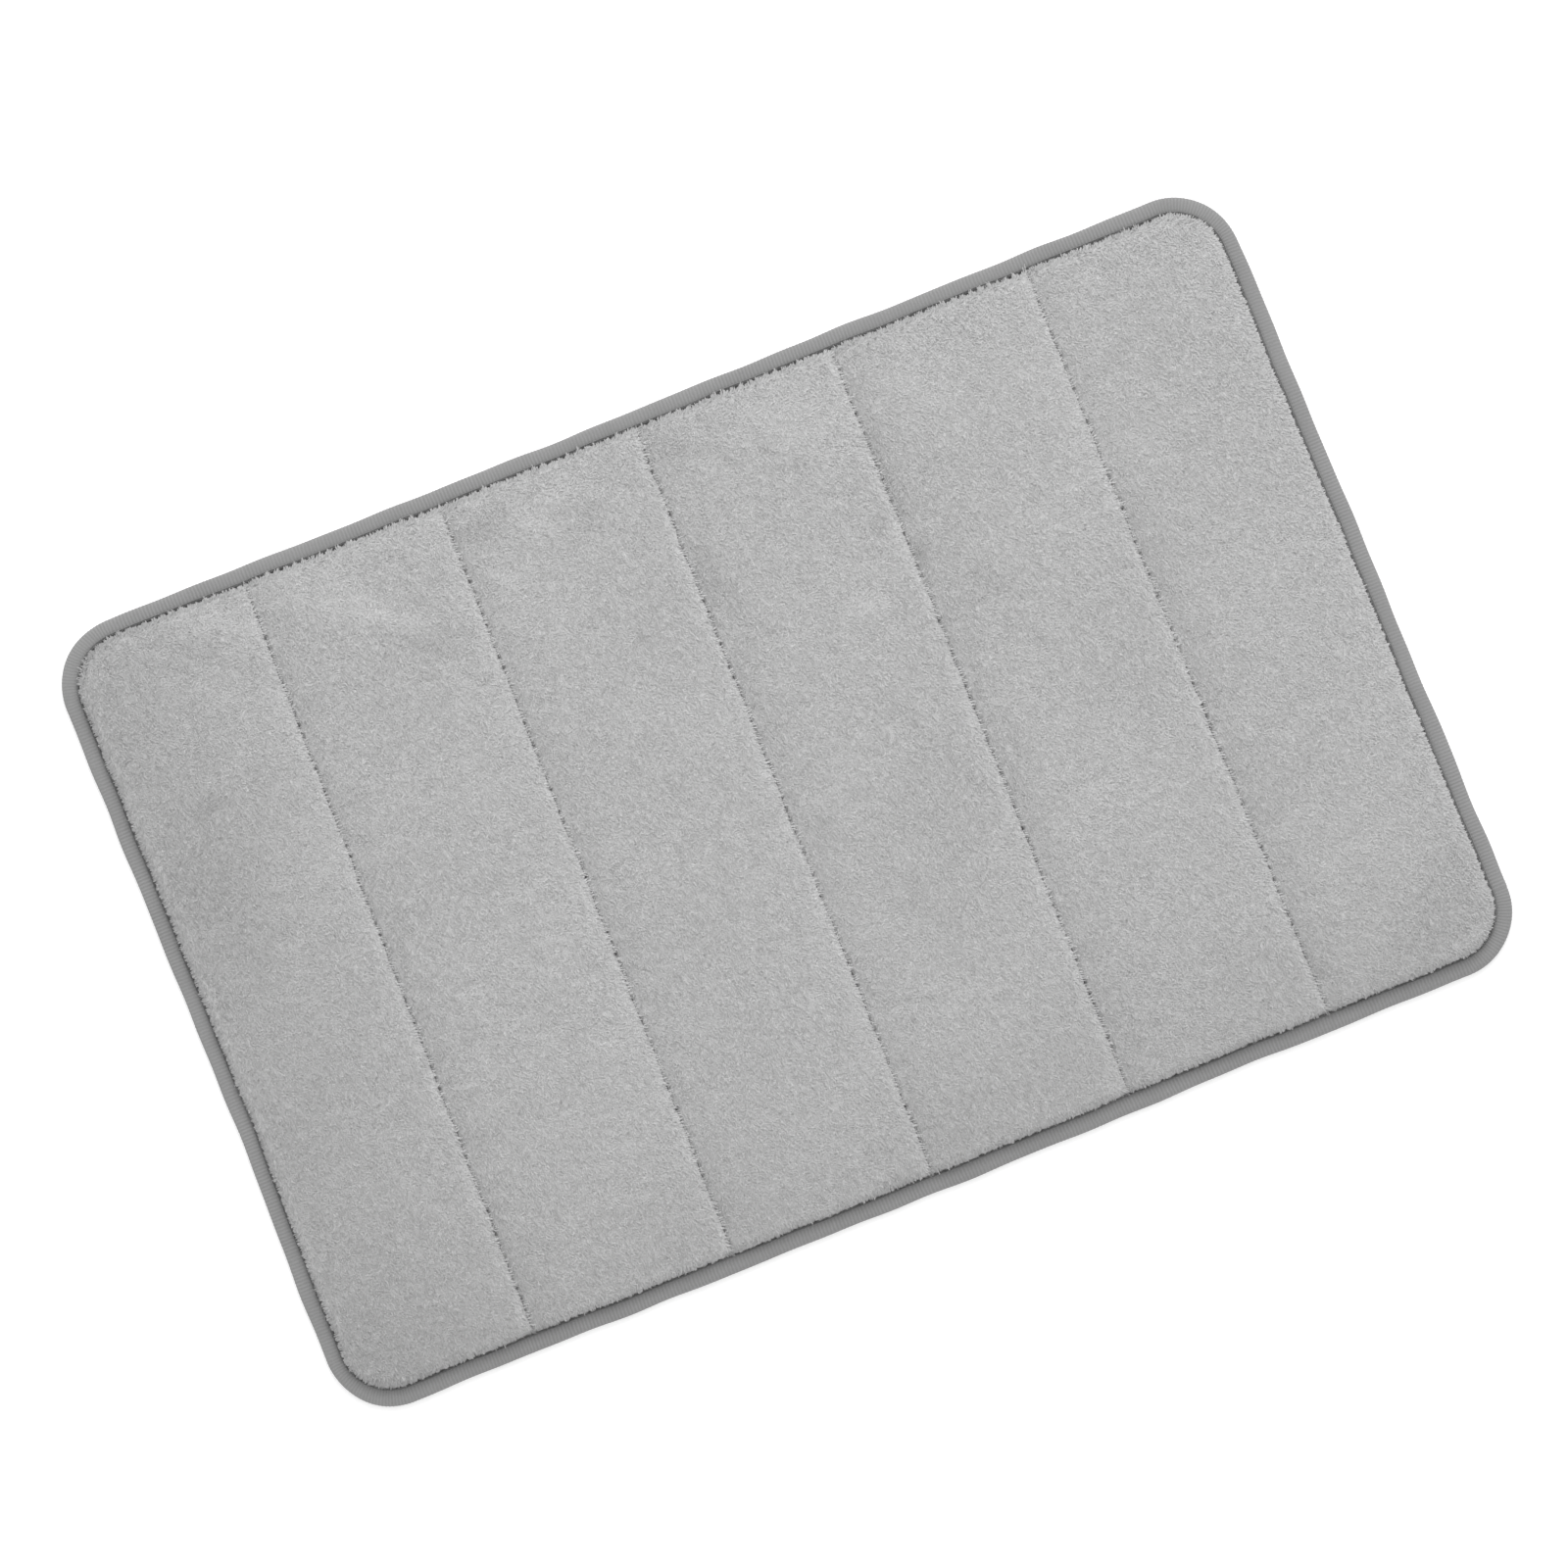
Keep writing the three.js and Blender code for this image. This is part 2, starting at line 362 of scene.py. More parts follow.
def closed_sheet(top, bottom):
    """Faces of a closed shell between two grids of points, each (rows, columns, 3), with its rim."""
    rows, columns = top.shape[:2]
    index = np.arange(rows * columns).reshape(rows, columns)
    upper = grid_faces(index)
    lower = upper[:, ::-1] + rows * columns
    ring = np.concatenate([index[:-1, 0], index[-1, :-1], index[:0:-1, -1], index[0, :0:-1]])
    ahead = np.roll(ring, -1)
    rim = np.stack([ring, ring + rows * columns, ahead + rows * columns, ahead], 1)
    points = np.concatenate([top.reshape(-1, 3), bottom.reshape(-1, 3)])
    return points, np.concatenate([upper, lower, rim])


def spread(low, high, step):
    """Even places from low to high, no further apart than the step."""
    return np.linspace(low, high, max(2, int(math.ceil((high - low) / step)) + 1))


def lines_along(half_x, rim, around, step):
    """Grid lines along the mat: close at its ends and round each seam, and a step apart between them."""
    lines = [half_x - rim, -half_x + rim]
    stops = [-half_x + rim[-1]]
    for seam in SEAMS:
        lines.append(seam + around)
        stops += [seam + around[0], seam + around[-1]]
    stops.append(half_x - rim[-1])
    for low, high in zip(stops[0::2], stops[1::2]):
        lines.append(spread(low, high, step)[1:-1])
    return np.unique(np.concatenate(lines).round(7))


# ---- the cover's surface

CROWN_CLOTH = {
    "quality": 5, "mass": 0.25, "tension_stiffness": 25, "compression_stiffness": 25,
    "shear_stiffness": 12, "bending_stiffness": 2, "use_pressure": True,
    "uniform_pressure_force": 4, "vertex_group_mass": "held",
}


def crown_grid():
    """How the panels puff up between their seams, from a cloth simulation of the cover's face held at its
    seams and edges. Returns the grid's lines and the rise at each, from 0 to CROWN."""
    step = 4 * MM
    frames = 20
    edge = WALL_INSET + ROLL * 0.6
    xs = spread(-HALF_X + edge, HALF_X - edge, step)
    ys = spread(-HALF_Y + edge, HALF_Y - edge, step)
    x, y = np.meshgrid(xs, ys, indexing="ij")
    nearest = np.min([np.abs(x - seam) for seam in SEAMS], 0)
    border = np.minimum(HALF_X - edge - np.abs(x), HALF_Y - edge - np.abs(y))
    held = (nearest < step * 0.6) | (border < step * 0.6)
    start = 0.35 * MM * smooth_noise(x, y, 45 * MM, 21) * soft_step(np.minimum(nearest, border) / (20 * MM))
    index = np.arange(x.size).reshape(x.shape)
    start_points = np.stack([x.ravel(), y.ravel(), start.ravel()], 1)
    sheet = make_piece("crown_cloth", start_points, grid_faces(index))
    group = sheet.vertex_groups.new(name="held")
    group.add([int(i) for i in index[held]], 1.0, "REPLACE")
    modifier = sheet.modifiers.new("Cloth", "CLOTH")
    for name, value in CROWN_CLOTH.items():
        setattr(modifier.settings, name, value)
    modifier.settings.effector_weights.gravity = 0
    modifier.point_cache.frame_start = 1
    modifier.point_cache.frame_end = frames
    for number in range(1, frames + 1):
        bpy.context.scene.frame_set(number)
    done = sheet.evaluated_get(bpy.context.evaluated_depsgraph_get())
    moved = np.zeros(x.size * 3, np.float32)
    done.data.vertices.foreach_get("co", moved)
    height = moved.reshape(-1, 3)[:, 2].reshape(x.shape).astype(float)
    bpy.data.objects.remove(sheet)
    bpy.context.scene.frame_set(1)
    return xs, ys, CROWN * np.tanh(height / CROWN)


CROWN_X, CROWN_Y, CROWN_RISE = crown_grid()


def crown(x, y):
    """The simulated rise at any place, interpolated between its grid's lines."""
    place_x = np.interp(x, CROWN_X, np.arange(len(CROWN_X)))
    place_y = np.interp(y, CROWN_Y, np.arange(len(CROWN_Y)))
    column = np.minimum(place_x.astype(int), len(CROWN_X) - 2)
    row = np.minimum(place_y.astype(int), len(CROWN_Y) - 2)
    share_x = place_x - column
    share_y = place_y - row
    near = CROWN_RISE[column, row] * (1 - share_x) + CROWN_RISE[column + 1, row] * share_x
    far = CROWN_RISE[column, row + 1] * (1 - share_x) + CROWN_RISE[column + 1, row + 1] * share_x
    return near * (1 - share_y) + far * share_y


def shoulder(inset, wall_top, width, top):
    """A rounded shoulder from an upright wall to a level top, as rows of inset and height."""
    steps = 14
    fullness = 0.85
    angle = np.linspace(0, math.pi / 2, steps + 1)
    return np.stack([
        inset + width * (1 - np.cos(angle) ** fullness),
        wall_top + (top - wall_top) * np.sin(angle) ** fullness,
    ], 1)


FACE_PROFILE = np.concatenate([
    [[RIM_INSET, FLANGE_TOP], [WALL_INSET - 0.3 * MM, FLANGE_TOP], [WALL_INSET, FLANGE_TOP + 0.4 * MM]],
    shoulder(WALL_INSET, WALL_TOP, ROLL, COVER_TOP),
])
FACE_RUN = np.concatenate([[0], np.cumsum(np.hypot(*np.diff(FACE_PROFILE, axis=0).T))])
FLAT_MARGIN = FACE_RUN[-1] - FACE_PROFILE[-1, 0]
FLAT_HALF_X = HALF_X + FLAT_MARGIN
FLAT_HALF_Y = HALF_Y + FLAT_MARGIN
FLAT_CORNER = CORNER + FLAT_MARGIN
WALL_RUN = FACE_RUN[3]
BACK_PROFILE = np.concatenate([
    [[RIM_INSET, COVER_LOW.z], [CAVITY_INSET, COVER_LOW.z]],
    shoulder(CAVITY_INSET, CAVITY_WALL, FACE_PROFILE[-1, 0] - CAVITY_INSET, CAVITY_TOP),
])
BACK_RUN = np.concatenate([[0], FACE_RUN[2], FACE_RUN[3:]], axis=None)


def seam_distance(x):
    """Signed distance to the nearest seam, positive to its right."""
    offsets = np.stack([x - seam for seam in SEAMS])
    nearest = np.argmin(np.abs(offsets), 0)
    return np.take_along_axis(offsets, nearest[None], 0)[0]


def stitch_phase(y):
    """1 at a stitch hole and 0 midway between two holes."""
    return 0.5 + 0.5 * np.cos(2 * math.pi * y / STITCH_PITCH)


def stitch_pull(x, y):
    """How hard each stitch is drawn down, which varies along the seams."""
    return 0.55 + 0.35 * smooth_noise(x, y, 16 * MM, 37)


def seam_dip(x, y):
    """How far the face is drawn down at the seams, steeply on the left and more gently on the right, and
    more at each stitch hole."""
    away = seam_distance(x)
    groove = GROOVE_DEPTH * np.exp(-(np.abs(away) / GROOVE_REACH) ** 1.4)
    pinch = PINCH_DEPTH * np.exp(-(np.abs(away) / np.where(away < 0, PINCH_LEFT, PINCH_RIGHT)) ** 1.6)
    hole = HOLE_DEPTH * np.exp(-(away / HOLE_REACH) ** 2) * stitch_pull(x, y) * stitch_phase(y) ** 4
    return groove + pinch + hole


def foam_dip(x):
    """How far the foam's top is pressed down along the seams."""
    away = np.minimum(np.abs(seam_distance(x)), FOAM_GROOVE_REACH)
    return FOAM_GROOVE_DEPTH / 2 * (1 + np.cos(math.pi * away / FOAM_GROOVE_REACH))


def fold_to_shape(x, y, profile, run):
    """Carries places on the flat cover to the folded one, following a profile of inset and height."""
    inset, facing_x, facing_y = rounded_inset(x, y, FLAT_HALF_X, FLAT_HALF_Y, FLAT_CORNER)
    beyond = np.maximum(inset - run[-1], 0)
    new_inset = np.interp(inset, run, profile[:, 0]) + beyond
    height = np.interp(inset, run, profile[:, 1])
    push = (inset - FLAT_MARGIN) - new_inset
    return x + facing_x * push, y + facing_y * push, height


def face_surface(x, y):
    """The cover's face under the pile, for places on the flat cover."""
    new_x, new_y, height = fold_to_shape(x, y, FACE_PROFILE, FACE_RUN)
    on_top = soft_step((height - FLANGE_TOP) / (COVER_TOP - FLANGE_TOP))
    uneven = FACE_UNEVENNESS * smooth_noise(new_x, new_y, 26 * MM, 31)
    height = height + on_top * (crown(new_x, new_y) + uneven - seam_dip(new_x, new_y))
    return np.stack([new_x, new_y, height], -1)


def back_surface(x, y):
    """The cover's inner side, for places on the flat cover."""
    new_x, new_y, height = fold_to_shape(x, y, BACK_PROFILE, BACK_RUN)
    on_top = soft_step((height - COVER_LOW.z) / (CAVITY_TOP - COVER_LOW.z))
    return np.stack([new_x, new_y, height - on_top * foam_dip(new_x)], -1)


def cover_lines():
    """Grid lines on the flat cover: close at the rim and the roll, at the seams and at the stitches."""
    offsets = np.array([0, 0.6, 1.3, 2.2, 3.5, 5.5, 8.5, 12]) * MM
    around = np.concatenate([-offsets[:0:-1], offsets])
    rim = np.array([0, 3.5, 7, 8.3, 9.6, 11, 12.4, 13.8, 15.2, 16.6, 18, 19.4, 21.5, 24.5]) * MM
    reach = FLAT_HALF_Y - rim[-1]
    third = STITCH_PITCH / 3
    count = int((reach - third / 2) / third)
    y_lines = [FLAT_HALF_Y - rim, -FLAT_HALF_Y + rim, np.arange(-count, count + 1) * third]
    return lines_along(FLAT_HALF_X, rim, around, 5.2 * MM), np.unique(np.concatenate(y_lines).round(7))


def make_cover():
    """The cover's cloth as one closed sheet, with the pile's tone and painted light and shade on it, and
    painted shade low in the groove by the tape.
    """
    flange_fade_low = 6 * MM
    flange_fade = 4 * MM
    xs, ys = cover_lines()
    x, y = rounded_grid(xs, ys, FLAT_HALF_X, FLAT_HALF_Y, FLAT_CORNER)
    points, faces = closed_sheet(face_surface(x, y), back_surface(x, y))
    piece = make_piece("cover_cloth", settle(points), faces)
    tone = pile_tone_and_painted_shading(points[:, 0], points[:, 1])
    # Painted shade on the cloth low in the groove between the tape and the pile's wall.
    groove_shade = 1 - soft_step((points[:, 2] - flange_fade_low) / flange_fade)
    near_rim = rounded_inset(points[:, 0], points[:, 1], HALF_X, HALF_Y, CORNER)[0] < WALL_INSET + ROLL
    add_tone(piece, tone * np.where(near_rim, 1 - FLANGE_SHADE * groove_shade, 1))
    return piece


# ---- the pile

# Where a hand or foot has brushed the pile: middle x, y, half length and half width in mm, the stroke's
# turn in degrees, and how much lighter or darker the pile's colour is painted there, as painted light and
# shade for the light that the turned pile catches.
BRUSHED = (
    (-258, 172, 24, 3.5, -38, -0.05), (-246, 160, 28, 3.5, -42, 0.05), (-230, 166, 24, 3, -40, -0.05),
    (-215, 178, 20, 5, -30, 0.05), (-253, 97, 9, 5, 10, -0.06), (-262, 52, 34, 24, 90, -0.03),
    (-158, 166, 32, 12, -35, 0.045), (-136, 146, 26, 5, -40, 0.05), (-124, 131, 20, 8, -30, -0.06),
    (-78, 176, 12, 6, 30, -0.05), (-62, 168, 10, 5, -30, 0.05), (-44, 178, 12, 5, 20, 0.05),
    (-34, 160, 12, 6, -40, -0.04), (-86, 150, 12, 5, -60, 0.04), (74, 166, 22, 14, -20, 0.045),
    (12, 104, 24, 6, -75, -0.05), (92, 104, 6, 5, 0, -0.07), (99, 99, 6, 4, 0, 0.06),
    (70, 72, 10, 5, -20, 0.05), (17, -7, 3, 2, 0, 0.07), (15, -18, 4, 3, 0, -0.07),
    (136, 158, 30, 18, -60, 0.022), (132, 58, 14, 8, -40, -0.04), (152, 12, 50, 6, -52, -0.018),
    (-15, -187, 9, 3, 0, -0.08), (-180, -92, 90, 4, 0, -0.012), (262, -168, 34, 16, 30, -0.04),
    (-35, 60, 60, 14, -50, 0.02), (40, -60, 50, 12, -60, -0.015), (200, 120, 60, 14, -60, 0.01),
    (104, 124, 26, 4, 90, -0.05), (105, 84, 8, 4, 90, -0.06), (68, 20, 22, 2, -65, -0.03),
    (12, 176, 11, 6, -20, -0.05), (36, 161, 9, 1.8, -67, -0.06), (57, 152, 10, 2, -67, -0.04),
    (68, 143, 9, 3, -30, -0.03), (33, 184, 9, 2.5, -60, -0.05),
    (77, -2, 24, 1.8, -62, -0.03), (86, -22, 20, 1.6, -60, -0.025), (176, 6, 20, 1.6, -60, -0.025),
)


def brushed_share(x, y, stroke):
    """How strongly one stroke acts at each place, fading unevenly at its edges."""
    middle_x, middle_y, length, width, degrees = stroke[:5]
    turn = math.radians(degrees)
    rough = 0.22 * smooth_noise(x, y, 9 * MM, 43)
    along = ((x / MM - middle_x) * math.cos(turn) + (y / MM - middle_y) * math.sin(turn)) / length
    across = (-(x / MM - middle_x) * math.sin(turn) + (y / MM - middle_y) * math.cos(turn)) / width
    return np.exp(-(np.maximum(along ** 2 + across ** 2, 0) * (1 + rough)) ** 1.5)


def nap_angle(x, y):
    """The direction in the plan that the pile leans in."""
    turn_of_stroke = 14
    wide = 0.2 * smooth_noise(x, y, 90 * MM, 41)
    narrow = 0.14 * smooth_noise(x, y, 16 * MM, 42)
    angle = math.radians(NAP_TURN) + wide + narrow
    for stroke in BRUSHED:
        angle = angle + brushed_share(x, y, stroke) * stroke[5] * turn_of_stroke
    return angle


def pile_tone_and_painted_shading(x, y):
    """How light the pile's colour is: a little random tone, with painted light and shade on top of it:
    along the brushed strokes for the light that the turned pile catches, on each seam's left crest (light)
    and along its right (shade, partly for the nap lying there), over the far rim that faces the key light,
    and towards the left end and the lower side where the light falls off."""
    tone = 1 + 0.003 * smooth_noise(x, y, 50 * MM, 44) + 0.005 * smooth_noise(x, y, 12 * MM, 45)
    # Painted light and shade along the brushed strokes, for the light that the turned pile catches.
    for stroke in BRUSHED:
        tone = tone + brushed_share(x, y, stroke) * stroke[5]
    # Painted light on the crest left of each seam and painted shade along its right, the shade partly for
    # the nap lying there.
    away = seam_distance(x)
    light = SEAM_LIGHT * np.exp(-(away / SEAM_LIGHT_REACH) ** 2)
    shade = SEAM_SHADE * np.exp(-away / SEAM_SHADE_REACH)
    tone = tone + np.where(away < 0, light, -shade)
    inset, _, facing_y = rounded_inset(x, y, HALF_X, HALF_Y, CORNER)
    # Painted shade over the far rim, the side that faces the key light.
    by_rim = 1 - soft_step((inset - WALL_INSET) / RIM_SHADE_REACH)
    tone = tone - RIM_SHADE * soft_step(facing_y) * by_rim
    # Painted shade towards the left end and the lower side, where the light falls off.
    tone = tone - LEFT_END_SHADE * soft_step((-x - 170 * MM) / (130 * MM))
    return tone - LOWER_SIDE_SHADE * soft_step((-y - 100 * MM) / (100 * MM))


def nearest_clump(x, y, size, seed):
    """The way from each place to the middle of the clump of fibres that it belongs to."""
    spare = 3
    columns = int(2 * HALF_X / size) + 8
    middles = np.random.default_rng(seed).random((columns, columns, 2))
    column = np.floor((x + HALF_X) / size).astype(int) + spare
    row = np.floor((y + HALF_X) / size).astype(int) + spare
    best = np.full(x.shape, 1e9)
    way = np.zeros(x.shape + (2,))
    for step_x in (-1, 0, 1):
        for step_y in (-1, 0, 1):
            offset = middles[column + step_x, row + step_y]
            to_x = (column + step_x - spare + offset[:, 0]) * size - HALF_X - x
            to_y = (row + step_y - spare + offset[:, 1]) * size - HALF_X - y
            distance = np.hypot(to_x, to_y)
            closer = distance < best
            best = np.where(closer, distance, best)
            way[closer] = np.stack([to_x, to_y], 1)[closer]
    return way, best


def normalised(vectors):
    """The same directions at unit length."""
    return vectors / np.maximum(np.linalg.norm(vectors, axis=-1, keepdims=True), 1e-12)


def turned(first, second, angle):
    """Each first direction turned towards its second one."""
    return first * np.cos(angle)[:, None] + second * np.sin(angle)[:, None]


def tuft_roots(panel, rng):
    """Places on the flat cover for one panel's locks: one in each cell of a grid, but none in the stitch
    holes and none at the wall's foot."""
    hole_half = 0.6 * MM
    hole_phase = 0.88
    bare_foot = 3 * MM
    edges = [-FLAT_HALF_X] + SEAMS + [FLAT_HALF_X]
    low, high = edges[panel], edges[panel + 1]
    columns = int(round((high - low) / TUFT_SPACING))
    rows = int(round(2 * FLAT_HALF_Y / TUFT_SPACING))
    column, row = np.meshgrid(np.arange(columns), np.arange(rows), indexing="ij")
    jitter = 1 - 2 * TUFT_MARGIN
    share_x = column.ravel() + TUFT_MARGIN + jitter * rng.random(column.size)
    share_y = row.ravel() + TUFT_MARGIN + jitter * rng.random(column.size)
    x = low + share_x * (high - low) / columns
    y = -FLAT_HALF_Y + share_y * 2 * FLAT_HALF_Y / rows
    inset = rounded_inset(x, y, FLAT_HALF_X, FLAT_HALF_Y, FLAT_CORNER)[0]
    in_hole = (np.abs(seam_distance(x)) < hole_half) & (stitch_phase(y) > hole_phase)
    kept = (inset > WALL_RUN - bare_foot) & ~in_hole
    return x[kept], y[kept]


def face_normals(x, y):
    """Unit normals of the cover's face."""
    small = 0.25 * MM
    across_x = face_surface(x + small, y) - face_surface(x - small, y)
    across_y = face_surface(x, y + small) - face_surface(x, y - small)
    return normalised(np.cross(across_x, across_y))


def pile_places(x, y):
    """What the locks need to know of their places: the face there, the way out, how near the rim and a
    seam's left and right edges are (0 to 1), and the clump of fibres that each lock belongs to."""
    at = SimpleNamespace(x=x, y=y, count=len(x))
    at.inset, at.facing_x, at.facing_y = rounded_inset(x, y, FLAT_HALF_X, FLAT_HALF_Y, FLAT_CORNER)
    at.root = face_surface(x, y)
    at.surface = face_normals(x, y)
    away = seam_distance(at.root[:, 0])
    at.rim = 1 - soft_step((at.inset - WALL_RUN) / (8 * MM))
    at.left_edge = np.where(away < 0, np.exp(-(away / (2.4 * MM)) ** 2), 0)
    at.right_edge = np.where(away >= 0, np.exp(-(away / (2.5 * MM)) ** 2), 0)
    at.gathered = np.maximum(0.35 * at.rim, 0.3 * at.left_edge)
    at.to_clump, at.clump_distance = nearest_clump(x, y, CLUMP_SIZE, 47)
    return at


def tuft_directions(at, rng):
    """Which way each lock points: with the nap, but out over the tape at the rim, and over the stitches at
    the left of a seam."""
    angle = nap_angle(at.root[:, 0], at.root[:, 1]) + rng.normal(0, 0.85, at.count)
    nap = np.stack([np.cos(angle), np.sin(angle), np.zeros(at.count)], 1)
    outward = np.stack([at.facing_x, at.facing_y, np.full(at.count, -0.3)], 1)
    lean = nap * (1 - at.rim[:, None]) + outward * at.rim[:, None]
    lean[:, 0] = lean[:, 0] + 1.6 * at.left_edge
    lean = normalised(lean - at.surface * np.sum(lean * at.surface, 1, keepdims=True))
    tilt = np.radians(TUFT_TILT + rng.normal(0, 7, at.count))
    tilt = tilt * (1 - 0.6 * at.rim) * (1 - 0.25 * at.left_edge) * (1 - 0.3 * at.right_edge)
    direction = turned(at.surface, lean, tilt)
    gathering = 0.12 + 0.5 * at.gathered
    direction[:, :2] = direction[:, :2] + at.to_clump / TUFT_LENGTH * gathering[:, None]
    return normalised(direction)


def tuft_lengths(at, rng):
    """How long each lock is: uneven over the tape, and longer left of a seam between its stitches."""
    length = TUFT_LENGTH * (1 + rng.normal(0, 0.12, at.count))
    lobe = np.clip(1.15 - (at.clump_distance / (1.5 * MM)) ** 2, 0, 1)
    beside = np.where(np.abs(at.facing_x) > np.abs(at.facing_y), at.y, at.x)
    ragged = (0.35 + 0.65 * soft_step(at.facing_y)) * smooth_noise(beside, 0 * beside, 2.4 * MM, 49)
    stitch = stitch_pull(at.x, at.y) * stitch_phase(at.y) ** 2
    low_wall = soft_step((WALL_RUN - at.inset) / (3 * MM))
    length = length * (1 - at.gathered * (0.6 - 0.5 * lobe) - at.rim * (0.18 - 0.28 * ragged))
    length = length * (1 - 0.25 * at.right_edge) * (1 + at.left_edge * (0.4 - 1.2 * stitch))
    return length * (1 - 0.4 * low_wall)


def lock_mesh(at, rng, direction, length):
    """Closed locks of four corners, twisted from root to tip, with normals that shade them as soft pile."""
    side = normalised(np.cross(at.surface, direction))
    up = normalised(np.cross(direction, side))
    width = TUFT_HALF_WIDTH * (1 + rng.normal(0, 0.15, at.count))
    roll = rng.normal(0, 0.35, at.count)
    rolled_side = turned(side, up, roll)
    rolled_up = turned(up, -side, roll)
    base = at.root - direction * ROOT_DEPTH
    tip = at.root + direction * length[:, None]
    twist = TUFT_TWIST + rng.normal(0, 0.12, at.count)
    half_tip = turned(rolled_side, rolled_up, twist) * (0.55 * width)[:, None]
    half_base = rolled_side * width[:, None]
    corners = [base - half_base, base + half_base, tip - half_tip, tip + half_tip]
    points = np.stack(corners, 1).reshape(-1, 3)
    faces = copied_faces(np.array([[0, 3, 1], [0, 1, 2], [1, 3, 2], [0, 2, 3]]), at.count, 4)

    upwards = np.outer(0.5 + 1.3 * at.rim, [0, 0, 1])
    soft_surface = normalised(at.surface + upwards)
    root_normal = normalised(0.65 * soft_surface + 0.35 * rolled_up)
    tip_normal = normalised(soft_surface + 0.35 * direction)
    bias = 0.18 * rolled_side
    normals = np.stack([root_normal - bias, root_normal + bias, tip_normal - bias, tip_normal + bias], 1)
    return points, faces, normalised(normals.reshape(-1, 3))


def make_tufts(panel):
    """One panel's pile: closed, slightly twisted locks of fibre that lean with the nap."""
    rng = np.random.default_rng(100 + panel)
    x, y = tuft_roots(panel, rng)
    at = pile_places(x, y)
    direction = tuft_directions(at, rng)
    length = tuft_lengths(at, rng)
    points, faces, normals = lock_mesh(at, rng, direction, length)
    points = settle(points)
    places = ("OFBake", plan_places(points))
    piece = make_piece(f"tufts_{panel + 1}", points, faces, uv=places, normals=normals)
    tone = pile_tone_and_painted_shading(at.root[:, 0], at.root[:, 1]) + rng.normal(0, TUFT_TONE_SPREAD, at.count)
    add_tone(piece, np.repeat(tone, 4))
    return piece


# ---- the tape

def tape_section():
    """The tape's closed section, from the inner edge of its lower leg out round the fold and back: rows of
    inset, height, outward inset part, outward height part and how far the ribs stand."""
    radius = TAPE_HIGH.z / 2
    inner = radius - TAPE_THICKNESS
    drawn_up = 0.32 * MM
    faint = 0.3
    rows = [(TAPE_WIDTH, drawn_up, 0, -1, 0), (THREAD_INSET - 0.9 * MM, drawn_up, 0, -1, faint)]
    for degrees in (0, 45, 80, 115, 150, 180):
        angle = math.radians(degrees)
        out, up = math.sin(angle), math.cos(angle)
        rows.append((radius * (1 - out), radius * (1 - up), -out, -up, faint if degrees == 0 else 1))
    rows += [
        (TAPE_WIDTH * 0.72, TAPE_HIGH.z + 0.2 * MM, 0.0, 1, 1),
        (TAPE_WIDTH * 0.9, TAPE_HIGH.z - 0.05 * MM, 0.3, 0.95, 0.9),
        (TAPE_WIDTH, TAPE_INNER_TOP - 0.1 * MM, 0.7, 0.7, 0.5),
        (TAPE_WIDTH, TAPE_INNER_TOP - TAPE_THICKNESS + 0.05 * MM, 0, 0, 0),
        (radius, radius + inner, 0, 0, 0),
        (radius - inner, radius, 0, 0, 0),
        (radius, radius - inner, 0, 0, 0),
        (TAPE_WIDTH, TAPE_THICKNESS + 0.2 * MM, 0, 0, 0),
    ]
    return np.array(rows, float)


def make_tape():
    """The tape swept round the edge, with its woven ribs across it."""
    point, facing, along = outline_points(RIB_PITCH / ROWS_PER_RIB)
    section = tape_section()
    rib = along / RIB_PITCH * 2 * math.pi
    rib = rib + 0.5 * smooth_noise(along, 0 * along, 25 * MM, 51)
    strength = 1 + 0.25 * smooth_noise(along, 0 * along, 12 * MM, 52)
    run = np.concatenate([[0], np.cumsum(np.hypot(np.diff(section[:, 0]), np.diff(section[:, 1])))])
    slant = 0.2 * run / MM
    turn = rib[:, None] + slant
    wave = (0.8 * np.cos(turn) + 0.25 * np.cos(2 * turn)) * strength[:, None]
    stand = RIB_HEIGHT * (wave - 0.6) * 0.5 * section[:, 4]
    swell = 0.15 * MM * smooth_noise(along, 0 * along, 60 * MM, 53)[:, None] * section[:, 4]
    inset = section[:, 0] + section[:, 2] * (stand + swell)
    height = section[:, 1] + section[:, 3] * (stand + np.maximum(swell, 0))
    height = np.maximum(height, 0)
    x = point[:, 0, None] - facing[:, 0, None] * inset
    y = point[:, 1, None] - facing[:, 1, None] * inset
    points = np.stack([x, y, height], -1).reshape(-1, 3)
    faces = tube_faces(len(point), len(section), True)
    places = np.stack(np.broadcast_arrays(along[:, None] / MM, run / MM), -1).reshape(-1, 2)
    return make_piece("folded_tape", settle(points), faces, uv=("weave", places))


# ---- sewing thread

def thread_mesh(name, path, closed):
    """A tube along a path of points, with capped ends where it is open."""
    ahead = np.roll(path, -1, 0) - np.roll(path, 1, 0)
    if not closed:
        ahead[0] = path[1] - path[0]
        ahead[-1] = path[-1] - path[-2]
    ahead = normalised(ahead)
    side = normalised(np.cross(ahead, np.array([0, 0, 1.0])))
    up = np.cross(side, ahead)
    sides = 8
    turn = np.arange(sides) * 2 * math.pi / sides
    ring = side[:, None] * np.cos(turn)[None, :, None] + up[:, None] * np.sin(turn)[None, :, None]
    points = path[:, None] + THREAD_RADIUS * ring
    faces = tube_faces(len(path), sides, closed)
    if not closed:
        cap = np.array([[0, 1, 2, 3], [0, 3, 4, 7], [4, 5, 6, 7]])
        faces = np.concatenate([faces, cap[:, ::-1], cap + (len(path) - 1) * sides])
    return make_piece(name, settle(points.reshape(-1, 3)), faces)


def stitch_wave(along, pitch):
    """From 0 at a stitch's holes to 1 along its float."""
    rising_part = 0.45
    share = np.abs(((along / pitch) + 0.5) % 1 - 0.5) * 2
    return soft_step(share / rising_part)


